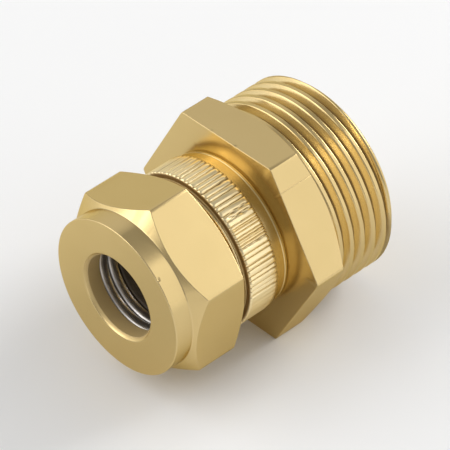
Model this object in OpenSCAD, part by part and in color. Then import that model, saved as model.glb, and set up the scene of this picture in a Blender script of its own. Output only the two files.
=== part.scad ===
// Brass cable gland, double compression, for a cable with wire armour.
// The axis lies along X: the cable enters at -X and the entry thread points to +X.
// The origin is on the axis, in the plane of the seat that meets the panel.

/* [Entry body] */
// Hexagon of the entry body, across flats
body_af = 27; // [26.8:0.1:30]
// Length of that hexagon, from its front face to the seat
body_hex_l = 5.5; // [4:0.1:8]
// Angle of the chamfer on the corners next to the seat
body_chamfer = 30; // [20:5:35]
// Entry thread, major diameter (G 3/4)
entry_d = 26.44; // [26:0.01:26.5]
// Entry thread, pitch (14 threads per inch)
entry_pitch = 1.814; // [1.4:0.001:2]
// Length of the entry thread, seat to end face
entry_l = 10; // [9:0.5:16]

/* [Knurled sleeve] */
// Diameter over the knurled band
knurl_d = 21.44; // [21.2:0.01:22]
// Length of the knurled band
knurl_l = 4.46; // [3:0.01:6]
// Number of knurl teeth
knurl_teeth = 88; // [40:1:120]
// Depth of the knurl
knurl_depth = 0.25; // [0.1:0.05:0.4]
// Diameter of the plain shoulder behind the knurl
shoulder_d = 20.8; // [20.5:0.1:21]
// Length of the plain shoulder
shoulder_l = 1.97; // [1.5:0.01:3]
// Thread that the cap nut runs on, major diameter
front_thread_d = 18; // [17.8:0.1:18.4]
// Thread that enters the body, major diameter
rear_thread_d = 20; // [19.6:0.1:20.2]
// Length of the thread that enters the body
rear_thread_l = 5.8; // [5:0.1:6]

/* [Cap nut] */
// Hexagon of the cap nut, across flats
nut_af = 22; // [21.6:0.1:24]
// Turn of the cap nut's hexagon about the axis, from corner up
nut_turn = 10; // [0:0.5:60]
// Length of the cap nut, mouth to rear face
nut_l = 10.55; // [10:0.05:11]
// Diameter of the round collar at the mouth
collar_d = 21.2; // [20:0.1:21.5]
// Length of the collar
collar_l = 2.6; // [2:0.1:3.5]
// Gap between the cap nut and the knurled band
nut_gap = 1.4; // [1.3:0.05:2]
// Cable hole through the cap nut, diameter
cable_d = 11.2; // [9:0.1:11.6]

/* [Seals and rings] */
// Thickness of each outer skid washer
skid_t = 1.5; // [1:0.05:1.6]
// Outside diameter of the outer seal and its washers
seal_d = 14.8; // [14:0.1:14.8]
// Length of the outer seal
seal_l = 6.4; // [5:0.1:6.6]
// Thickness of the sleeve O-ring
o_ring_t = 1.2; // [1:0.1:1.4]
// Thickness of the inner skid washer
inner_skid_t = 0.9; // [0.6:0.1:1.5]

/* [Hidden] */
$fn = 96;

BRASS = [0.84, 0.70, 0.42];
STEEL = [0.75, 0.75, 0.76];
RUBBER = [0.10, 0.10, 0.11];

// Radial gap of a screwed pair, so that the plain cylinders stand for meshing threads.
run_gap = 0.05;
// Radial room around a loose ring.
loose_gap = 0.1;
// A hair of overlap between shapes that join, and how far a cutter runs past the face it opens.
hair = 0.01;
past = 1;
// Small chamfer on machined edges, and the chamfer at the start of a thread.
edge_break = 0.2;
thread_lead = 0.5;
// Depth of the entry thread, as the Whitworth form gives it.
entry_depth = 0.6403 * entry_pitch;
// Half the width of a thread groove at its mouth and at its root, as a share of the pitch.
groove_mouth = 0.42;
groove_root = 0.08;
// Narrow full-diameter land between the seat and the first groove.
first_land = 0.2;

// Stations along the axis, from the thread end to the cable end.
x_seat = 0;
x_hex_front = -body_hex_l;
x_knurl_rear = x_hex_front - shoulder_l;
x_knurl_front = x_knurl_rear - knurl_l;
x_nut_rear = x_knurl_front - nut_gap;
x_mouth = x_nut_rear - nut_l;

// Bores of the loose pieces around the cable.
skid_bore_r = cable_d / 2 + 0.25;
outer_seal_bore_r = cable_d / 2 - 0.3;
inner_seal_bore_r = 5.3;

// Entry body: how far its corners are turned from straight up, its edges and its inside.
body_turn = 30;
front_break = 0.35;
end_chamfer = 0.8;
exit_wall = 2.9;
exit_taper_l = 0.9;
exit_chamfer = 0.5;
inner_bore_r = 8;
inner_seat_x = entry_l - exit_wall;
way_out_r = 5.8;
cone_pocket_r = rear_thread_d / 2 + run_gap;
cone_shelf_x = 1.9;

// Armour cone.
cone_flange_r = 9.7;
cone_flange_t = 1.4;
cone_flange_x = cone_shelf_x - cone_flange_t;
cone_root_r = 7.9;
cone_nose_r = 6.7;
cone_l = 4.6;
cone_land_l = 0.4;
cone_spigot_r = 7.8;
cone_spigot_l = 0.7;
cone_bore_r = 5.9;

// Inner seal, between its washer and its seat.
inner_skid_x = cone_shelf_x + cone_spigot_l;
inner_seal_x = inner_skid_x + inner_skid_t;
inner_ring_r = inner_bore_r - loose_gap;
inner_taper_l = 0.75;

// Clamp ring, around the cone.
wire_gap = 0.35;
ring_r = 8.8;
ring_l = 3.8;
ring_edge = 0.3;
ring_room = 0.9;
ring_x = cone_flange_x - ring_room - ring_l;

// Knurled sleeve, inside and out.
skirt_bore_r = ring_r + loose_gap;
skirt_x = x_hex_front + rear_thread_l;
front_bore_r = seal_d / 2 + loose_gap;
mouth_to_sleeve = 5.1;
sleeve_front_x = x_mouth + mouth_to_sleeve;
bore_chamfer = 0.3;
seal_seat_depth = 0.9;
seal_seat_x = x_knurl_front + seal_seat_depth;
seal_seat_l = 1;
sleeve_way_r = 5.9;
undercut_l = 1.5 * o_ring_t;
neck_depth = 0.65;
neck_r = front_thread_d / 2 - neck_depth;
neck_l = 0.5;
lip_r = 9.9;
lip_l = 0.55;

// Cap nut: the slopes of its two chamfers, the edge of its collar, and its inside.
nut_front_slope = 36;
nut_rear_slope = 24;
collar_break = 0.15;
nut_wall = 2.3;
pocket_l = 1.4;
mouth_chamfer = 0.35;

// How far the flats' chamfers reach below the flats, so that their circle shows on the end faces.
chamfer_reach = 0.05;

// Outer seal and washers.
seal_taper = 0.8;
washer_edge = 0.4;

// Radius at the corners of a hexagon of this size across flats.
function corner_r(af) = af / 2 / cos(30);

// Turns a shape made along +Z so that +Z becomes +X, and +X becomes down.
module along_x(x = 0) { translate([x, 0, 0]) rotate([0, 90, 0]) children(); }

// A round shape from an outline of [station along X, radius] points.
module turned(outline) {
    along_x() rotate_extrude() polygon([for (p = outline) [p[1], p[0]]]);
}

// A plain ring between two stations.
module ring(x, l, r_in, r_out, edge = 0.1) {
    turned([[x, r_in + edge], [x + edge, r_in], [x + l - edge, r_in], [x + l, r_in + edge],
            [x + l, r_out - edge], [x + l - edge, r_out], [x + edge, r_out], [x, r_out - edge]]);
}

// A hexagonal bar along X, with a corner up when turn is 0.
module hexagon(x, l, af, turn = 0) {
    along_x(x) rotate([0, 0, turn]) cylinder(h = l, r = corner_r(af), $fn = 6);
}

// The grooves of a thread, as separate rings. The first one is centred on x.
module groove_rings(x, r, pitch, depth, count) {
    mouth = pitch * groove_mouth;
    root = pitch * groove_root;
    for (i = [0 : count - 1])
        translate([i * pitch, 0, 0])
            turned([[x - mouth, r + past], [x - mouth, r], [x - root, r - depth],
                    [x + root, r - depth], [x + mouth, r], [x + mouth, r + past]]);
}

// Hexagon, entry thread and the bores for the cone, the inner seal and the cable.
module entry_body() {
    body_r = corner_r(body_af);
    seat_r = body_af / 2 - chamfer_reach;
    chamfer_l = (body_r - seat_r) * tan(body_chamfer);
    entry_r = entry_d / 2;
    groove_count = round((entry_l - end_chamfer) / entry_pitch);
    color(BRASS) difference() {
        union() {
            intersection() {
                hexagon(x_hex_front, body_hex_l, body_af, body_turn);
                turned([[x_hex_front, 0], [x_hex_front, body_r - front_break],
                        [x_hex_front + edge_break, body_r + hair],
                        [x_seat - chamfer_l, body_r + hair], [x_seat, seat_r], [x_seat, 0]]);
            }
            turned([[x_seat - past, 0], [x_seat - past, entry_r],
                    [entry_l - end_chamfer, entry_r], [entry_l, entry_r - end_chamfer],
                    [entry_l, 0]]);
        }
        groove_rings(first_land + entry_pitch * groove_mouth, entry_r, entry_pitch, entry_depth,
                     groove_count);
        along_x(x_hex_front - past)
            cylinder(h = cone_shelf_x - x_hex_front + past, r = cone_pocket_r);
        along_x(x_seat) cylinder(h = inner_seat_x, r = inner_bore_r);
        along_x(x_seat) cylinder(h = entry_l + past, r = way_out_r);
        turned([[inner_seat_x - hair, 0], [inner_seat_x - hair, inner_bore_r],
                [inner_seat_x + exit_taper_l, way_out_r], [inner_seat_x + exit_taper_l, 0]]);
        turned([[entry_l - exit_chamfer, 0], [entry_l - exit_chamfer, way_out_r],
                [entry_l + exit_chamfer, way_out_r + 2 * exit_chamfer],
                [entry_l + exit_chamfer, 0]]);
    }
}

// Rubber sleeve that grips the cable's inner sheath, with a tapered rear end.
module inner_seal() {
    end_x = inner_seat_x - run_gap;
    tip_x = end_x + inner_taper_l;
    tip_r = way_out_r + inner_taper_l / 2;
    color(RUBBER) turned([[inner_seal_x, inner_seal_bore_r], [inner_seal_x, inner_ring_r],
                          [end_x, inner_ring_r], [tip_x, tip_r], [tip_x, inner_seal_bore_r]]);
}

// Plated washer that lets the cone push on the inner seal without dragging it round.
module inner_skid_washer() {
    color(STEEL) ring(inner_skid_x, inner_skid_t, cone_bore_r, inner_ring_r);
}

// Cone that the armour wires spread over, with a flange and a short rear spigot.
module armour_cone() {
    color(BRASS) turned([
        [cone_flange_x - cone_l, cone_bore_r], [cone_flange_x - cone_l, cone_nose_r],
        [cone_flange_x - cone_land_l, cone_root_r], [cone_flange_x, cone_root_r],
        [cone_flange_x, cone_flange_r], [cone_shelf_x, cone_flange_r],
        [cone_shelf_x, cone_spigot_r], [inner_skid_x, cone_spigot_r],
        [inner_skid_x, cone_bore_r]]);
}

// Ring that clamps the armour wires onto the cone.
module clamp_ring() {
    slope = (cone_root_r - cone_nose_r) / (cone_l - cone_land_l);
    front_r = cone_nose_r + slope * (ring_x - (cone_flange_x - cone_l)) + wire_gap;
    rear_r = front_r + slope * ring_l;
    ring_rear_x = ring_x + ring_l;
    color(BRASS) turned([[ring_x, front_r], [ring_x, ring_r - ring_edge],
                         [ring_x + ring_edge, ring_r], [ring_rear_x - ring_edge, ring_r],
                         [ring_rear_x, ring_r - ring_edge], [ring_rear_x, rear_r]]);
}

// Knurled band, both threads, the outer seal's seat and the skirt around the clamp ring.
module knurled_sleeve() {
    front_r = front_thread_d / 2;
    rear_r = rear_thread_d / 2;
    knurl_r = knurl_d / 2;
    lip_x = x_knurl_front - lip_l;
    neck_x = lip_x - neck_l;
    undercut_x = x_hex_front + undercut_l;
    cut = knurl_depth * sqrt(2);
    color(BRASS) difference() {
        turned([
            [sleeve_front_x, front_bore_r + bore_chamfer], [sleeve_front_x, front_r - thread_lead],
            [sleeve_front_x + thread_lead, front_r], [neck_x, front_r], [neck_x, neck_r],
            [lip_x, neck_r], [lip_x, lip_r - edge_break], [lip_x + edge_break, lip_r],
            [x_knurl_front, lip_r], [x_knurl_front, knurl_r - edge_break],
            [x_knurl_front + edge_break, knurl_r], [x_knurl_rear - edge_break, knurl_r],
            [x_knurl_rear, knurl_r - edge_break], [x_knurl_rear, shoulder_d / 2],
            [x_hex_front, shoulder_d / 2], [x_hex_front, rear_r - o_ring_t],
            [undercut_x, rear_r - o_ring_t], [undercut_x, rear_r],
            [skirt_x - thread_lead, rear_r], [skirt_x, rear_r - thread_lead],
            [skirt_x, skirt_bore_r], [ring_x, skirt_bore_r], [ring_x, sleeve_way_r],
            [seal_seat_x + seal_seat_l, sleeve_way_r], [seal_seat_x, front_bore_r],
            [sleeve_front_x + bore_chamfer, front_bore_r]]);
        for (i = [0 : knurl_teeth - 1])
            along_x(x_knurl_front - past) rotate([0, 0, i * 360 / knurl_teeth])
                translate([knurl_r, 0, 0]) rotate([0, 0, 45]) translate([-cut / 2, -cut / 2, 0])
                    cube([cut, cut, knurl_l + 2 * past]);
    }
}

// O-ring in the undercut behind the sleeve's shoulder.
module sleeve_o_ring() {
    minor_r = o_ring_t / 2;
    color(RUBBER) along_x(x_hex_front + undercut_l / 2) rotate_extrude()
        translate([rear_thread_d / 2 - minor_r, 0]) circle(r = minor_r, $fn = 48);
}

// Rubber sleeve that grips the cable's outer sheath.
module outer_seal() {
    x = x_mouth + nut_wall + 2 * skid_t;
    end_x = x + seal_l;
    color(RUBBER) turned([[x, outer_seal_bore_r], [x, seal_d / 2],
                          [end_x - seal_taper, seal_d / 2], [end_x, seal_d / 2 - seal_taper],
                          [end_x, outer_seal_bore_r]]);
}

// Plated washer against the outer seal.
module rear_skid_washer() {
    color(STEEL) ring(x_mouth + nut_wall + skid_t, skid_t, skid_bore_r, seal_d / 2, washer_edge);
}

// Plated washer against the cap nut's wall.
module front_skid_washer() {
    color(STEEL) ring(x_mouth + nut_wall, skid_t, skid_bore_r, seal_d / 2, washer_edge);
}

// Collar, chamfered hexagon and the bores for the cable, the washers and the thread.
module cap_nut() {
    nut_r = corner_r(nut_af);
    collar_r = collar_d / 2;
    rear_r = nut_af / 2 - chamfer_reach;
    hex_x = x_mouth + collar_l;
    front_l = (nut_r - collar_r) * tan(nut_front_slope);
    rear_l = (nut_r - rear_r) * tan(nut_rear_slope);
    thread_r = front_thread_d / 2 + run_gap;
    color(BRASS) difference() {
        union() {
            turned([[x_mouth, 0], [x_mouth, collar_r - collar_break],
                    [x_mouth + collar_break, collar_r], [hex_x + hair, collar_r],
                    [hex_x + hair, 0]]);
            intersection() {
                hexagon(hex_x, x_nut_rear - hex_x, nut_af, nut_turn);
                turned([[hex_x, 0], [hex_x, collar_r], [hex_x + front_l, nut_r + hair],
                        [x_nut_rear - rear_l, nut_r + hair], [x_nut_rear, rear_r],
                        [x_nut_rear, 0]]);
            }
        }
        along_x(x_mouth - past) cylinder(h = nut_wall + 2 * past, r = cable_d / 2);
        along_x(x_mouth + nut_wall) cylinder(h = pocket_l + past, r = seal_d / 2 + loose_gap);
        along_x(x_mouth + nut_wall + pocket_l) cylinder(h = nut_l, r = thread_r);
        turned([[x_mouth - past, 0], [x_mouth - past, cable_d / 2 + mouth_chamfer + past],
                [x_mouth + mouth_chamfer, cable_d / 2], [x_mouth + mouth_chamfer, 0]]);
    }
}

entry_body();
inner_seal();
inner_skid_washer();
armour_cone();
clamp_ring();
knurled_sleeve();
sleeve_o_ring();
outer_seal();
rear_skid_washer();
front_skid_washer();
cap_nut();
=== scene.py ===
"""Brass cable gland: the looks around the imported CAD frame."""
import math

import bmesh
import bpy
import numpy as np
from mathutils import Matrix, Vector

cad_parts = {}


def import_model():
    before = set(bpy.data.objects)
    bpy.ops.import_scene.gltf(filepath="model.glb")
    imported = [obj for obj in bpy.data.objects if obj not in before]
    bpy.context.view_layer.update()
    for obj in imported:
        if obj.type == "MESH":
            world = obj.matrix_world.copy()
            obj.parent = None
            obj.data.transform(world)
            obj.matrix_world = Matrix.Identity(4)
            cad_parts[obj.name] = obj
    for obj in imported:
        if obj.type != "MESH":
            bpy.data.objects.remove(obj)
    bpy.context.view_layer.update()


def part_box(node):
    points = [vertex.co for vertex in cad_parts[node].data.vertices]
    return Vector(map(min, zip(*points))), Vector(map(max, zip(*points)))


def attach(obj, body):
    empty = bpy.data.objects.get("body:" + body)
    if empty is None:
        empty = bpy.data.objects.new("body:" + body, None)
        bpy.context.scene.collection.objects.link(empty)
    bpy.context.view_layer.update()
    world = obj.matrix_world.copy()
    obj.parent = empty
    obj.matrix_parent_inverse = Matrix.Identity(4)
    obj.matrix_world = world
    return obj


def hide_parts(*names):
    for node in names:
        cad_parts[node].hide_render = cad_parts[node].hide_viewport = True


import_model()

# ---------------------------------------------------------------- sizes, millimetres
MM = 0.001
TURN = 2 * math.pi


def span(node):
    """First and last station of a CAD node along the axis, and its largest radius."""
    low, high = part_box(node)
    return low.x / MM, high.x / MM, max(high.y, high.z) / MM


X_MOUTH, X_NUT_REAR, _ = span("cap_nut")
X_HEX, X_END, _ = span("entry_body")
X_SLEEVE, X_SKIRT, KNURL_R = span("knurled_sleeve")

# Hexagons: across flats, the turn of one corner from straight up, and how much a corner is worn.
NUT_AF, NUT_CORNER, NUT_WEAR = 22.0, math.radians(10), 0.04
BODY_AF, BODY_CORNER, BODY_WEAR = 27.0, math.radians(30), 0.05
# Slopes of the chamfers on those corners, and how far they reach below the flats.
NUT_FRONT_SLOPE, NUT_REAR_SLOPE, BODY_SLOPE = (math.radians(a) for a in (36, 24, 30))
CHAMFER_REACH = 0.05
# A faint scored line along one flat of the body: its angle, depth and half width.
SCORE, SCORE_DEPTH, SCORE_HALF = math.radians(41.3), 0.035, math.radians(0.25)

# Entry thread: crest radius, pitch, depth, and the station of its first groove's centre.
ENTRY_R, ENTRY_PITCH, ENTRY_DEPTH, ENTRY_START = 13.22, 1.814, 1.14, 1.25
# The threads inside, and the radial gap between a male and a female one.
FINE_PITCH, FINE_DEPTH, FINE_GAP = 1.0, 0.55, 0.05
FRONT_THREAD_R, REAR_THREAD_R = 9.0, 10.0
# Half width of a groove at its mouth and at its root, as a share of the pitch.
ENTRY_GROOVE = (0.36, 0.02)
FINE_GROOVE = (0.31, 0.02)

# Cap nut: collar, cable hole with its chamfer, and the pocket for the washers.
COLLAR_R, COLLAR_L = 10.6, 2.6
CABLE_R, MOUTH_R, MOUTH_L = 5.6, 6.02, 0.40
NUT_WALL, POCKET_R, POCKET_L = 2.3, 7.5, 1.4
NUT_LEAD_R, NUT_LEAD_L = 9.6, 0.55

# Entry body: its front edge's bore, the cone's pocket and shelf, the seal's bore and the exit.
BODY_FRONT_R = 10.25
POCKET_WALL_R, SHELF_X, BODY_THREAD_X = 10.05, 1.9, (0.6, -4.0)
SEAL_BORE_R, SEAL_SEAT_X, EXIT_TAPER = 8.0, 7.1, 0.9
EXIT_R, EXIT_CHAMFER, END_CHAMFER = 5.8, 0.5, 0.8

# Sleeve: shoulder and knurl, the neck and lip before it, and its bores.
SHOULDER_R, SHOULDER_L, KNURL_L = 10.4, 1.97, 4.46
X_KNURL_END = X_HEX - SHOULDER_L
X_KNURL = X_KNURL_END - KNURL_L
NECK_R, NECK_L, LIP_R, LIP_L = 8.35, 0.5, 9.9, 0.55
SEAL_R, SEAL_SEAT, SEAL_TAPER, WAY_R = 7.5, 0.9, 1.0, 5.9
SKIRT_R, SKIRT_FLOOR_X = 8.9, -4.2
O_RING_BED_R, O_RING_BED_L = 8.8, 1.75
# The shoulder is a hair lower up to the fine bead that runs beside the hexagon.
BEAD_STEP, BEAD_X = 0.07, X_HEX - 0.42

# Knurl: number of teeth, angle of one valley in degrees, depth, and rows along a tooth.
KNURL_TEETH, KNURL_VALLEY, KNURL_DEPTH, KNURL_ROWS = 88, 66.5, 0.26, 12
# Stretches of the knurl, in degrees: struck twice, worn away, and the middle of a bruise.
STRUCK_TWICE, WORN, BRUISE = (41.5, 58.5), (95, 122), 37


# ---------------------------------------------------------------- mesh tools
def rounded(corners, steps=4):
    """Rounds the corners of a closed outline. A corner is (x, r, reach of the rounding, cavity)."""
    points = []
    n = len(corners)
    for i in range(n):
        x, r, reach, cavity = corners[i]
        if not reach:
            points.append((x, r, 0.0, cavity))
            continue
        px, pr = corners[i - 1][:2]
        nx, nr = corners[(i + 1) % n][:2]
        before = math.hypot(px - x, pr - r)
        after = math.hypot(nx - x, nr - r)
        reach = min(reach, 0.45 * before, 0.45 * after)
        back, ahead = reach / max(before, 1e-9), reach / max(after, 1e-9)
        ax, ar = x + (px - x) * back, r + (pr - r) * back
        bx, br = x + (nx - x) * ahead, r + (nr - r) * ahead
        for k in range(steps + 1):
            t = k / steps
            a, b, c = (1 - t) ** 2, 2 * t * (1 - t), t ** 2
            edge = 4 * t * (1 - t)
            points.append((a * ax + b * x + c * bx, a * ar + b * r + c * br, edge, cavity))
    return points


def turned_mesh(name, profile, angles):
    """A closed solid around the X axis, from the outline that profile(angle) gives at each angle.

    Angles run from straight up towards -Y. A corner may leave out its rounding and its cavity.
    The mesh keeps two values at each point: edge, 1 on a rounded edge, and cavity.
    """
    columns = []
    for angle in angles:
        corners = [(corner + (0, 0))[:4] for corner in profile(angle)]
        columns.append(rounded(corners))
    data = np.array(columns)
    count, rows = data.shape[:2]
    around = np.array(angles)[:, None]
    x, r = data[:, :, 0], data[:, :, 1]
    points = np.stack([x, -r * np.sin(around), r * np.cos(around)], axis=2).reshape(-1, 3) * MM
    i = np.arange(count)[:, None]
    j = np.arange(rows)[None, :]
    i2, j2 = (i + 1) % count, (j + 1) % rows
    quads = np.stack([i * rows + j, i * rows + j2, i2 * rows + j2, i2 * rows + j], axis=2)
    mesh = bpy.data.meshes.new(name)
    mesh.from_pydata(points.tolist(), [], quads.reshape(-1, 4).tolist())
    for key, values in (("edge", data[:, :, 2]), ("cavity", data[:, :, 3])):
        layer = mesh.attributes.new(key, "FLOAT", "POINT")
        layer.data.foreach_set("value", values.reshape(-1).astype(np.float32))
    work = bmesh.new()
    work.from_mesh(mesh)
    bmesh.ops.recalc_face_normals(work, faces=work.faces)
    work.to_mesh(mesh)
    work.free()
    mesh.shade_smooth()
    piece = bpy.data.objects.new(name, mesh)
    bpy.context.scene.collection.objects.link(piece)
    weighted = piece.modifiers.new("even_shading", "WEIGHTED_NORMAL")
    weighted.weight = 90
    return piece


def even_angles(count):
    return [TURN * k / count for k in range(count)]


def hex_angles(corner, count, bunch=10):
    """Even angles, with extra ones bunched at the six corners."""
    step = math.radians(0.35)
    extra = [corner + TURN * k / 6 + step * (j - bunch / 2)
             for k in range(6) for j in range(bunch + 1)]
    half_bunch = step * (bunch / 2 + 0.5)
    plain = [a for a in even_angles(count)
             if abs((a - corner + TURN / 12) % (TURN / 6) - TURN / 12) > half_bunch]
    return sorted(a % TURN for a in plain + extra)


def hex_radius(angle, flats, corner, wear):
    """Radius of a hexagon with softly worn corners, in one direction."""
    away = (angle - corner) % (TURN / 6) - TURN / 12
    sharp = flats / 2 / math.cos(away)
    to_corner = TURN / 12 - abs(away)
    return sharp - wear * math.exp(-(to_corner / math.radians(0.8)) ** 2)


def groove(phase, mouth, root):
    """Depth of a thread groove, 0 to 1, at a place along its pitch. The groove is centred on 0."""
    u = abs((phase + 0.5) % 1 - 0.5)
    return min(max((mouth - u) / (mouth - root), 0), 1)


def helix_rows(x0, x1, angle, crest, pitch, depth, per_pitch, start=0.0, shape=FINE_GROOVE,
               run=(0.4, 0.4), painted_light=0.0):
    """Corners along a right-hand thread, from station x0 to x1 at one angle.

    The groove fades in and out over the two lengths of run. The roots are darkened with painted shade
    through a high cavity, and the flanks are painted paler, a painted highlight, through a negative
    cavity whose strength is the last argument.
    """
    count = max(int(abs(x1 - x0) / pitch * per_pitch), 2)
    rows = []
    for k in range(count + 1):
        x = x0 + (x1 - x0) * k / count
        fade = min(abs(x - x0) / run[0], abs(x1 - x) / run[1], 1)
        g = groove((x - start) / pitch - angle / TURN, *shape) * fade
        # Painted shade darkens the deepest part of each groove; the flanks above it are painted
        # paler, a painted highlight.
        painted_shade = min(max((g - 0.72) / 0.12, 0), 1)
        rows.append((x, crest - depth * g, 0, 3.2 * painted_shade - painted_light * min(3 * g, 1) * (1 - painted_shade)))
    return rows


def fine_thread(x0, x1, angle, crest):
    """Corners along one of the threads inside."""
    return helix_rows(x0, x1, angle, crest, FINE_PITCH, FINE_DEPTH, 14)


# ---------------------------------------------------------------- cap nut
def nut_profile(angle):
    collar_end = X_MOUTH + COLLAR_L
    wall_end = X_MOUTH + NUT_WALL
    pocket_end = wall_end + POCKET_L
    flat_r = NUT_AF / 2 - CHAMFER_REACH
    reach = hex_radius(angle, NUT_AF, NUT_CORNER, NUT_WEAR)
    x_front = collar_end + (reach - COLLAR_R) * math.tan(NUT_FRONT_SLOPE)
    x_rear = X_NUT_REAR - (reach - flat_r) * math.tan(NUT_REAR_SLOPE)
    female = fine_thread(X_NUT_REAR - NUT_LEAD_L, pocket_end + 0.05, angle,
                         FRONT_THREAD_R + FINE_GAP)
    return [
        (X_MOUTH, MOUTH_R, 0.08), (X_MOUTH, COLLAR_R, 0.13), (collar_end, COLLAR_R, 0.12),
        (x_front, reach, 0.07), (x_rear, reach, 0.08), (X_NUT_REAR, flat_r, 0.08),
        (X_NUT_REAR, NUT_LEAD_R, 0.08), *female,
        (pocket_end, FRONT_THREAD_R, 0), (pocket_end, POCKET_R, 0.1), (wall_end, POCKET_R, 0.05),
        # The cable bore carries a cavity of 1: duller, rougher brass, darkened a little with painted
        # shade.
        (wall_end, CABLE_R, 0.1, 1), (X_MOUTH + MOUTH_L, CABLE_R, 0.06, 1),
    ]


# ---------------------------------------------------------------- entry body
def body_profile(angle):
    reach = hex_radius(angle, BODY_AF, BODY_CORNER, BODY_WEAR)
    reach -= SCORE_DEPTH * max(1 - abs(angle - SCORE) / SCORE_HALF, 0)
    seat_r = BODY_AF / 2 - CHAMFER_REACH
    x_rear = -(reach - seat_r) * math.tan(BODY_SLOPE)
    # The entry thread's flanks are painted paler, a painted highlight, and its roots carry painted
    # shade.
    outer = helix_rows(0.0, X_END - END_CHAMFER, angle, ENTRY_R, ENTRY_PITCH, ENTRY_DEPTH, 26,
                       start=ENTRY_START, shape=ENTRY_GROOVE, run=(0.5, 0.05), painted_light=0.6)
    inner = fine_thread(*BODY_THREAD_X, angle, REAR_THREAD_R + FINE_GAP)
    first, last = BODY_THREAD_X
    taper_end = SEAL_SEAT_X + EXIT_TAPER
    return [
        (X_HEX, BODY_FRONT_R, 0.08), (X_HEX, reach, 0.08), (x_rear, reach, 0.09),
        (0.0, seat_r, 0.08), *outer, (X_END, ENTRY_R - END_CHAMFER, 0.12),
        (X_END, EXIT_R + EXIT_CHAMFER, 0.1), (X_END - EXIT_CHAMFER, EXIT_R, 0.1),
        (taper_end, EXIT_R, 0.1), (SEAL_SEAT_X, SEAL_BORE_R, 0.1), (SHELF_X, SEAL_BORE_R, 0.15),
        (SHELF_X, POCKET_WALL_R, 0.05), (first + 0.05, POCKET_WALL_R, 0), *inner,
        (last - 0.05, POCKET_WALL_R, 0), (X_HEX + 0.2, POCKET_WALL_R, 0),
    ]


# ---------------------------------------------------------------- knurled sleeve
def ridge(across, half):
    """Depth across one ridge of the knurl: steep narrow cuts beside a leaning crown."""
    cut, lean, crown = 0.2 * half, 0.16 * half, 0.36
    side = half - abs(across)
    if side < cut:
        return 1 - (1 - crown) * side / cut
    flank = half - cut + lean if across < lean else half - cut - lean
    return crown * ((across - lean) / flank) ** 2


def knurl_depth(angle, x):
    """Depth of the knurl at one place, 0 on a ridge and 1 in a valley.

    The waves take whole multiples of the angle, so that they meet after a full turn.
    """
    turns = math.degrees(angle) % 360
    bruise = math.exp(-((turns - BRUISE) / 4) ** 2) + 0.15
    wobble = bruise * (0.15 * math.sin(5.1 * x) + 0.10 * math.sin(13.7 * x + 57 * angle))
    uneven = 0.10 * math.sin(40 * angle) + 0.05 * math.sin(120 * angle)
    phase = (turns - KNURL_VALLEY) / 360 * KNURL_TEETH + wobble + uneven
    if STRUCK_TWICE[0] < turns < STRUCK_TWICE[1]:
        depth = ridge(phase % 0.5 - 0.25, 0.25)
    else:
        depth = ridge(phase % 1 - 0.5, 0.5)
    worn = min(max(min((turns - WORN[0]) / 4, (WORN[1] - turns) / 4), 0), 1)
    return depth * (1 - 0.8 * worn)


def band_profile(angle):
    """The knurled band, a ring around the sleeve's core."""
    inner, edge_r = 9.7, KNURL_R - 0.32
    front, rear = X_KNURL + 0.03, X_KNURL_END - 0.03
    ridges = []
    for k in range(KNURL_ROWS + 1):
        x = front + (rear - front) * k / KNURL_ROWS
        cut = knurl_depth(angle, x)
        # A high cavity in the valleys darkens them with painted shade.
        ridges.append((x, KNURL_R - KNURL_DEPTH * cut, 0, 1.2 * cut ** 3))
    return [
        # The band's ends carry a cavity of 1, painted shade in the joint with the core.
        (X_KNURL, inner, 0, 1), (X_KNURL, edge_r, 0, 1), *ridges,
        (X_KNURL_END, edge_r, 0, 1), (X_KNURL_END, inner, 0, 1),
    ]


def sleeve_profile(angle):
    """The sleeve without its knurled band: both threads, the lip, the shoulder and the skirt."""
    x_lip = X_KNURL - LIP_L
    x_neck = x_lip - NECK_L
    x_bed = X_HEX + O_RING_BED_L
    x_seat = X_KNURL + SEAL_SEAT
    front = fine_thread(X_SLEEVE + 0.45, x_neck, angle, FRONT_THREAD_R)
    rear = fine_thread(x_bed + 0.05, X_SKIRT - 0.4, angle, REAR_THREAD_R)
    core = KNURL_R - 0.5
    low_r = SHOULDER_R - BEAD_STEP
    return [
        (X_SLEEVE, SEAL_R + 0.3, 0.08), (X_SLEEVE, FRONT_THREAD_R - 0.5, 0.08), *front,
        # The lip is painted paler, a painted highlight, and the crease before the knurl is darkened
        # with painted shade.
        (x_neck, NECK_R, 0.05), (x_lip, NECK_R, 0.05), (x_lip, LIP_R, 0.15, -0.8),
        (X_KNURL - 0.22, LIP_R, 0, -0.8), (X_KNURL - 0.02, LIP_R, 0, 1.6),
        (X_KNURL + 0.1, core, 0), (X_KNURL_END - 0.1, core, 0), (X_KNURL_END - 0.05, low_r, 0),
        (X_KNURL_END + 0.1, low_r, 0), (BEAD_X - 0.18, low_r, 0), (BEAD_X - 0.08, low_r, 0.03),
        (BEAD_X, SHOULDER_R, 0.05), (X_HEX, SHOULDER_R, 0), (X_HEX, O_RING_BED_R, 0.05),
        (x_bed, O_RING_BED_R, 0.05), *rear, (X_SKIRT, REAR_THREAD_R - 0.4, 0.05),
        (X_SKIRT, SKIRT_R, 0.05), (SKIRT_FLOOR_X, SKIRT_R, 0.05), (SKIRT_FLOOR_X, WAY_R, 0.2),
        (x_seat + SEAL_TAPER, WAY_R, 0.2), (x_seat, SEAL_R, 0.2), (X_SLEEVE + 0.3, SEAL_R, 0.1),
    ]


# ---------------------------------------------------------------- inner pieces
def ring_profile(node, bore, edge, bore_edge=None):
    """A plain ring in the place of a CAD node, with rounded edges."""
    x0, x1, r = span(node)
    inner_edge = edge if bore_edge is None else bore_edge
    corners = [(x0, bore, inner_edge), (x0, r, edge), (x1, r, edge), (x1, bore, inner_edge)]
    return lambda angle: corners


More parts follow.
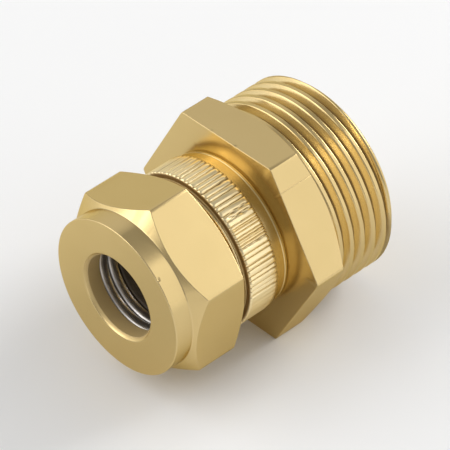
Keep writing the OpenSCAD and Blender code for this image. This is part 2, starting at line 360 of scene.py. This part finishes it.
def outer_seal_profile(angle):
    x0, x1, r = span("outer_seal")
    bore, taper = 5.5, 0.8
    return [(x0, bore, 0.3), (x0, r, 0.2), (x1 - taper, r, 0.3), (x1, r - taper, 0.2),
            (x1, bore, 0.3)]


def inner_seal_profile(angle):
    x0, x1, r = span("inner_seal")
    bore, taper, tip_r = 5.6, 0.75, 6.1
    return [(x0, bore, 0.3), (x0, r, 0.2), (x1 - taper, r, 0.3), (x1, tip_r, 0.2),
            (x1, bore, 0.2)]


# Armour cone: bore, nose, root and spigot radii, the start of its root and its flange.
CONE_BORE_R, CONE_NOSE_R, CONE_ROOT_R, SPIGOT_R = 5.9, 6.7, 7.9, 7.8
X_CONE_ROOT, X_FLANGE = 0.1, 0.5


def cone_profile(angle):
    x0, x1, r = span("armour_cone")
    return [(x0, CONE_BORE_R, 0.1), (x0, CONE_NOSE_R, 0.2), (X_CONE_ROOT, CONE_ROOT_R, 0.2),
            (X_FLANGE, CONE_ROOT_R, 0.1), (X_FLANGE, r, 0.12), (SHELF_X, r, 0.12),
            (SHELF_X, SPIGOT_R, 0.05), (x1, SPIGOT_R, 0.12), (x1, CONE_BORE_R, 0.1)]


def clamp_profile(angle):
    """The clamp ring's bore follows the cone at the distance of one armour wire."""
    x0, x1, r = span("clamp_ring")
    x_nose, _, _ = span("armour_cone")
    slope = (CONE_ROOT_R - CONE_NOSE_R) / (X_CONE_ROOT - x_nose)
    front_r = CONE_NOSE_R + slope * (x0 - x_nose) + 0.35
    rear_r = front_r + slope * (x1 - x0)
    return [(x0, front_r, 0.1), (x0, r, 0.3), (x1, r, 0.3), (x1, rear_r, 0.1)]


def o_ring_profile(angle):
    x0, x1, r = span("sleeve_o_ring")
    minor = (x1 - x0) / 2
    centre_x, centre_r = x0 + minor, r - minor
    return [(centre_x + minor * math.cos(t), centre_r + minor * math.sin(t))
            for t in even_angles(24)]


# ---------------------------------------------------------------- materials
# A paler brass for painted highlights, brass paled by wear for rubbed edges, and a brown for painted
# shade in hollows.
HIGHLIGHT_BRASS, WORN_BRASS, SHADE_BROWN = (0.84, 0.68, 0.37), (0.86, 0.70, 0.42), (0.26, 0.15, 0.05)
# Tint of brass at a glancing angle.
BRASS_GLANCE = (0.85, 0.75, 0.47, 1)
# How far a worn edge turns paler, and how much metal and polish a dull cavity loses.
EDGE_WEAR, METAL_LOSS, POLISH_LOSS = 0.2, 0.7, 0.3
# Small knocks in the brass, as (x, y, z, radius, strength): on the collar's rim, beside it, and on
# the body's front edge.
NICKS = [(-23.7, -7.55, 7.42, 0.38, 1.6), (-22.75, -8.52, 6.31, 0.17, 0.35),
         (-22.5, -8.7, 6.0, 0.16, 0.25), (-5.4, -1.6, 13.55, 0.32, 1.0), (-5.3, 2.6, 13.5, 0.18, 1.0)]
# Scales of the noise in brass, steel and rubber, per metre.
CLOUD, SMEAR, PITS, RINGS = 120, 300, 5200, 9000
STEEL_CLOUD, STEEL_SMEAR = 900, 1500
DUST, GRAIN = 400, 6000
# Heights of the finest relief and of a knock.
FINE_RELIEF, GRAIN_RELIEF, KNOCK_RELIEF = 0.02 * MM, 0.03 * MM, 0.06 * MM


def new_material(name):
    material = bpy.data.materials.new(name)
    material.use_nodes = True
    tree = material.node_tree
    return material, tree, tree.nodes["Principled BSDF"]


def set_or_link(tree, socket, value):
    """Gives a socket a plain number or colour, or links another node's output to it."""
    if isinstance(value, tuple):
        socket.default_value = (*value, 1)
    elif isinstance(value, (int, float)):
        socket.default_value = value
    else:
        tree.links.new(value, socket)


def math_node(tree, operation, a, b=None, clamp=False):
    node = tree.nodes.new("ShaderNodeMath")
    node.operation = operation
    node.use_clamp = clamp
    set_or_link(tree, node.inputs[0], a)
    if b is not None:
        set_or_link(tree, node.inputs[1], b)
    return node.outputs[0]


def noise(tree, vector, scale, detail=3.0):
    node = tree.nodes.new("ShaderNodeTexNoise")
    node.inputs["Scale"].default_value = scale
    node.inputs["Detail"].default_value = detail
    node.inputs["Roughness"].default_value = 0.55
    tree.links.new(vector, node.inputs["Vector"])
    return node.outputs["Fac"]


def colour_ramp(tree, fac, low, high):
    """Colour from low to high. Each end is (place on the ramp, colour)."""
    node = tree.nodes.new("ShaderNodeValToRGB")
    for element, (place, colour) in zip(node.color_ramp.elements, (low, high)):
        element.position = place
        element.color = (*colour, 1)
    tree.links.new(fac, node.inputs[0])
    return node.outputs[0]


def mix_colour(tree, fac, a, b):
    node = tree.nodes.new("ShaderNodeMix")
    node.data_type = "RGBA"
    for socket, value in ((node.inputs[0], fac), (node.inputs[6], a), (node.inputs[7], b)):
        set_or_link(tree, socket, value)
    return node.outputs[2]


def attribute(tree, name):
    node = tree.nodes.new("ShaderNodeAttribute")
    node.attribute_name = name
    return node.outputs["Fac"]


def bump(tree, height, strength, distance, normal=None):
    node = tree.nodes.new("ShaderNodeBump")
    node.inputs["Strength"].default_value = strength
    node.inputs["Distance"].default_value = distance
    tree.links.new(height, node.inputs["Height"])
    if normal is not None:
        tree.links.new(normal, node.inputs["Normal"])
    return node.outputs[0]


def nicks(tree, place):
    """Depth of the knocks, which are small round pits."""
    total = None
    for x, y, z, radius, strength in NICKS:
        away = tree.nodes.new("ShaderNodeVectorMath")
        away.operation = "DISTANCE"
        tree.links.new(place, away.inputs[0])
        away.inputs[1].default_value = (x * MM, y * MM, z * MM)
        share = math_node(tree, "DIVIDE", away.outputs["Value"], radius * MM)
        pit = math_node(tree, "SUBTRACT", 1.0, share, True)
        pit = math_node(tree, "MULTIPLY", pit, strength)
        total = pit if total is None else math_node(tree, "MAXIMUM", total, pit)
    return total


def object_place(tree):
    return tree.nodes.new("ShaderNodeTexCoord").outputs["Object"]


def turned_place(tree, place):
    """Place as (station, radius, a little of the angle), so that noise makes turning rings."""
    split = tree.nodes.new("ShaderNodeSeparateXYZ")
    tree.links.new(place, split.inputs[0])
    x, y, z = split.outputs
    squares = math_node(tree, "ADD", math_node(tree, "MULTIPLY", y, y),
                        math_node(tree, "MULTIPLY", z, z))
    angle = math_node(tree, "ARCTAN2", y, z)
    join = tree.nodes.new("ShaderNodeCombineXYZ")
    tree.links.new(x, join.inputs[0])
    tree.links.new(math_node(tree, "SQRT", squares), join.inputs[1])
    tree.links.new(math_node(tree, "MULTIPLY", angle, 0.4 * MM), join.inputs[2])
    return join.outputs[0]


def uneven_roughness(tree, fac, low, spread):
    """Roughness from low, where fac is 0, to low + spread, where fac is 1."""
    return math_node(tree, "ADD", math_node(tree, "MULTIPLY", fac, spread), low)


def brass(name, light, dark, roughness, ring_bump, painted_shade=0.25):
    """Machined brass: turning rings, cloudy tarnish, brighter worn edges, and cavities darkened with
    painted shade.

    A negative cavity paints the brass paler, a painted highlight, and a high one is duller and less
    metallic.
    """
    material, tree, shader = new_material(name)
    place = object_place(tree)
    turned = turned_place(tree, place)
    cavity = math_node(tree, "MAXIMUM", attribute(tree, "cavity"), 0.0)
    painted_light = math_node(tree, "MULTIPLY", attribute(tree, "cavity"), -1.0)
    painted_light = math_node(tree, "MAXIMUM", painted_light, 0.0)
    dull = math_node(tree, "MINIMUM", cavity, 1.0)
    worn = math_node(tree, "MULTIPLY", attribute(tree, "edge"), EDGE_WEAR)

    colour = colour_ramp(tree, noise(tree, place, CLOUD), (0.30, dark), (0.70, light))
    # Painted highlight: where the cavity is negative, the brass is painted paler.
    colour = mix_colour(tree, painted_light, colour, HIGHLIGHT_BRASS)
    # Painted shade: where the cavity is high, the brass is darkened towards brown.
    colour = mix_colour(tree, math_node(tree, "MULTIPLY", cavity, painted_shade, True), colour, SHADE_BROWN)
    colour = mix_colour(tree, worn, colour, WORN_BRASS)
    tree.links.new(colour, shader.inputs["Base Color"])
    shader.inputs["Specular Tint"].default_value = BRASS_GLANCE

    loss = math_node(tree, "MULTIPLY", dull, METAL_LOSS)
    tree.links.new(math_node(tree, "SUBTRACT", 1.0, loss), shader.inputs["Metallic"])
    rough = uneven_roughness(tree, noise(tree, place, SMEAR), roughness - 0.04, spread=0.08)
    rough = math_node(tree, "ADD", rough, math_node(tree, "MULTIPLY", dull, POLISH_LOSS))
    tree.links.new(rough, shader.inputs["Roughness"])

    rings = noise(tree, turned, RINGS, detail=2)
    pits = noise(tree, place, PITS, detail=2)
    hollow = math_node(tree, "MULTIPLY", nicks(tree, place), -1.0)
    normal = bump(tree, rings, ring_bump, FINE_RELIEF)
    normal = bump(tree, pits, 0.03, FINE_RELIEF, normal)
    normal = bump(tree, hollow, 1.0, KNOCK_RELIEF, normal)
    tree.links.new(normal, shader.inputs["Normal"])
    return material


def steel(name):
    """Bright plated steel with turning rings."""
    material, tree, shader = new_material(name)
    place = object_place(tree)
    dark, light = (0.52, 0.50, 0.48), (0.64, 0.61, 0.58)
    colour = colour_ramp(tree, noise(tree, place, STEEL_CLOUD), (0.3, dark), (0.7, light))
    tree.links.new(colour, shader.inputs["Base Color"])
    shader.inputs["Metallic"].default_value = 1.0
    rough = uneven_roughness(tree, noise(tree, place, STEEL_SMEAR), low=0.30, spread=0.12)
    tree.links.new(rough, shader.inputs["Roughness"])
    rings = noise(tree, turned_place(tree, place), RINGS, detail=2)
    tree.links.new(bump(tree, rings, 0.15, FINE_RELIEF), shader.inputs["Normal"])
    return material


def rubber(name):
    """Black moulded rubber with a fine grain and dusty patches."""
    material, tree, shader = new_material(name)
    place = object_place(tree)
    dust = noise(tree, place, DUST, detail=4)
    dark, dusty = (0.070, 0.050, 0.029), (0.115, 0.087, 0.055)
    tree.links.new(colour_ramp(tree, dust, (0.35, dark), (0.75, dusty)),
                   shader.inputs["Base Color"])
    rough = uneven_roughness(tree, dust, low=0.48, spread=0.25)
    tree.links.new(rough, shader.inputs["Roughness"])
    grain = noise(tree, place, GRAIN)
    tree.links.new(bump(tree, grain, 0.35, GRAIN_RELIEF), shader.inputs["Normal"])
    return material


BRASS = brass("brass_outer", light=(0.71, 0.537, 0.252), dark=(0.68, 0.512, 0.235),
              roughness=0.24, ring_bump=0.12)
# The knurl's brass is a brighter copy, a painted highlight on the ridges, and its valleys take strong
# painted shade.
BRASS_KNURL_PAINTED_LIGHT = brass("brass_knurl_painted_light", light=(1.0, 0.83, 0.49), dark=(0.97, 0.79, 0.45),
                    roughness=0.31, ring_bump=0.12, painted_shade=0.95)
# A darker copy of the brass for the pieces deep inside, which is painted shade.
BRASS_INSIDE_SHADED = brass("brass_inside_painted_shade", light=(0.62, 0.46, 0.21), dark=(0.52, 0.37, 0.16),
                    roughness=0.34, ring_bump=0.25)
STEEL = steel("plated_steel")
RUBBER = rubber("black_rubber")


# ---------------------------------------------------------------- pieces
def place_piece(name, profile, angles, body, node, material):
    """Makes a piece that rides on a body. Where a CAD node is named, it takes that node's place."""
    piece = turned_mesh(name, profile, angles)
    piece.data.materials.append(material)
    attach(piece, body)
    if node:
        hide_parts(node)


# Angles around a piece: few, more, and many, and how many on each tooth of the knurl.
COARSE, FINE, FINER, PER_TOOTH = even_angles(144), even_angles(180), even_angles(216), 20
NUT_ANGLES = hex_angles(NUT_CORNER, 216)
# The body has extra angles beside the scored line.
SCORE_ANGLES = [SCORE + math.radians(0.1) * k for k in range(-3, 4)]
BODY_ANGLES = sorted(hex_angles(BODY_CORNER, 240) + SCORE_ANGLES)
# Skid washers: bore, and the rounding of the outer edges and of the bore's edges.
SKID = {"bore": 5.62, "edge": 0.1, "bore_edge": 0.6}

place_piece("nut_shell", nut_profile, NUT_ANGLES, "nut_group", "cap_nut", BRASS)
place_piece("body_shell", body_profile, BODY_ANGLES, "body_group", "entry_body", BRASS)
place_piece("sleeve_core", sleeve_profile, FINER, "sleeve_group", "knurled_sleeve",
            BRASS)
place_piece("knurl_band", band_profile, even_angles(KNURL_TEETH * PER_TOOTH), "sleeve_group",
            None, BRASS_KNURL_PAINTED_LIGHT)
place_piece("washer_front", ring_profile("front_skid_washer", **SKID), FINE,
            "washer_group", "front_skid_washer", STEEL)
place_piece("washer_rear", ring_profile("rear_skid_washer", **SKID), FINE,
            "washer_group", "rear_skid_washer", STEEL)
place_piece("seal_outer", outer_seal_profile, COARSE, "washer_group", "outer_seal",
            RUBBER)
place_piece("ring_clamp", clamp_profile, COARSE, "clamp_group", "clamp_ring",
            BRASS_INSIDE_SHADED)
place_piece("cone_armour", cone_profile, COARSE, "body_group", "armour_cone",
            BRASS_INSIDE_SHADED)
place_piece("washer_inner", ring_profile("inner_skid_washer", CONE_BORE_R, 0.15), COARSE,
            "body_group", "inner_skid_washer", STEEL)
place_piece("seal_inner", inner_seal_profile, COARSE, "body_group", "inner_seal",
            RUBBER)
place_piece("o_ring", o_ring_profile, COARSE, "sleeve_group", "sleeve_o_ring", RUBBER)


# ---------------------------------------------------------------- studio
def floor():
    """A wide pale floor under the body's lower flat."""
    half_size, segments = 3.0, 8
    z = -BODY_AF / 2 * MM
    step = 2 * half_size / segments
    row = segments + 1
    verts = [(-half_size + i * step, -half_size + j * step, z)
             for j in range(row) for i in range(row)]
    faces = [(j * row + i, j * row + i + 1, (j + 1) * row + i + 1, (j + 1) * row + i)
             for j in range(segments) for i in range(segments)]
    mesh = bpy.data.meshes.new("floor")
    mesh.from_pydata(verts, [], faces)
    obj = bpy.data.objects.new("floor", mesh)
    bpy.context.scene.collection.objects.link(obj)
    material, _, shader = new_material("pale_floor")
    shader.inputs["Base Color"].default_value = (0.90, 0.90, 0.90, 1)
    shader.inputs["Roughness"].default_value = 0.9
    shader.inputs["Specular IOR Level"].default_value = 0.0
    mesh.materials.append(material)


def softbox(name, direction, distance, size, power):
    """A square light that faces the gland from one direction."""
    light = bpy.data.lights.new(name, "AREA")
    light.shape = "SQUARE"
    light.size = size
    light.energy = power
    obj = bpy.data.objects.new(name, light)
    away = Vector(direction).normalized()
    obj.location = away * distance
    obj.rotation_euler = away.to_track_quat("Z", "Y").to_euler()
    bpy.context.scene.collection.objects.link(obj)


def world():
    made = bpy.data.worlds.new("studio")
    made.use_nodes = True
    back = made.node_tree.nodes["Background"]
    back.inputs["Color"].default_value = (1, 1, 1, 1)
    back.inputs["Strength"].default_value = 0.38
    bpy.context.scene.world = made


def camera():
    """A long lens at the photograph's angle, with a slight roll."""
    azimuth, elevation, roll = math.radians(-41.55), math.radians(40.53), math.radians(2.32)
    distance = 0.515
    target = Vector((-5.86, 0.32, 0.28)) * MM
    back = Vector((math.sin(azimuth) * math.cos(elevation),
                   -math.cos(azimuth) * math.cos(elevation), math.sin(elevation)))
    level = Vector((math.cos(azimuth), math.sin(azimuth), 0))
    upright = back.cross(level)
    right = level * math.cos(roll) - upright * math.sin(roll)
    up = upright * math.cos(roll) + level * math.sin(roll)
    data = bpy.data.cameras.new("camera")
    data.lens = 338.9
    data.sensor_width = 36
    data.clip_start = 0.01
    data.clip_end = 20
    obj = bpy.data.objects.new("camera", data)
    pose = Matrix((right, up, back)).transposed().to_4x4()
    pose.translation = target + back * distance
    obj.matrix_world = pose
    bpy.context.scene.collection.objects.link(obj)
    bpy.context.scene.camera = obj


floor()
world()
softbox("key_right", (0.50, -0.72, 0.42), distance=0.60, size=0.64, power=1.02)
softbox("fill_back", (0.50, 0.72, 0.40), distance=0.60, size=0.60, power=0.42)
softbox("top_left", (-0.53, 0.52, 0.67), distance=0.65, size=0.50, power=1.10)
softbox("low_left", (-0.52, 0.82, 0.26), distance=0.60, size=0.36, power=0.35)
softbox("side_left", (-0.82, 0.49, 0.29), distance=0.60, size=0.30, power=0.39)
softbox("mouth_left", (-0.80, 0.12, 0.58), distance=0.60, size=0.24, power=0.29)
softbox("behind_thread", (0.85, -0.20, 0.49), distance=0.70, size=0.36, power=2.9)
camera()
bpy.context.scene.view_settings.view_transform = "Standard"
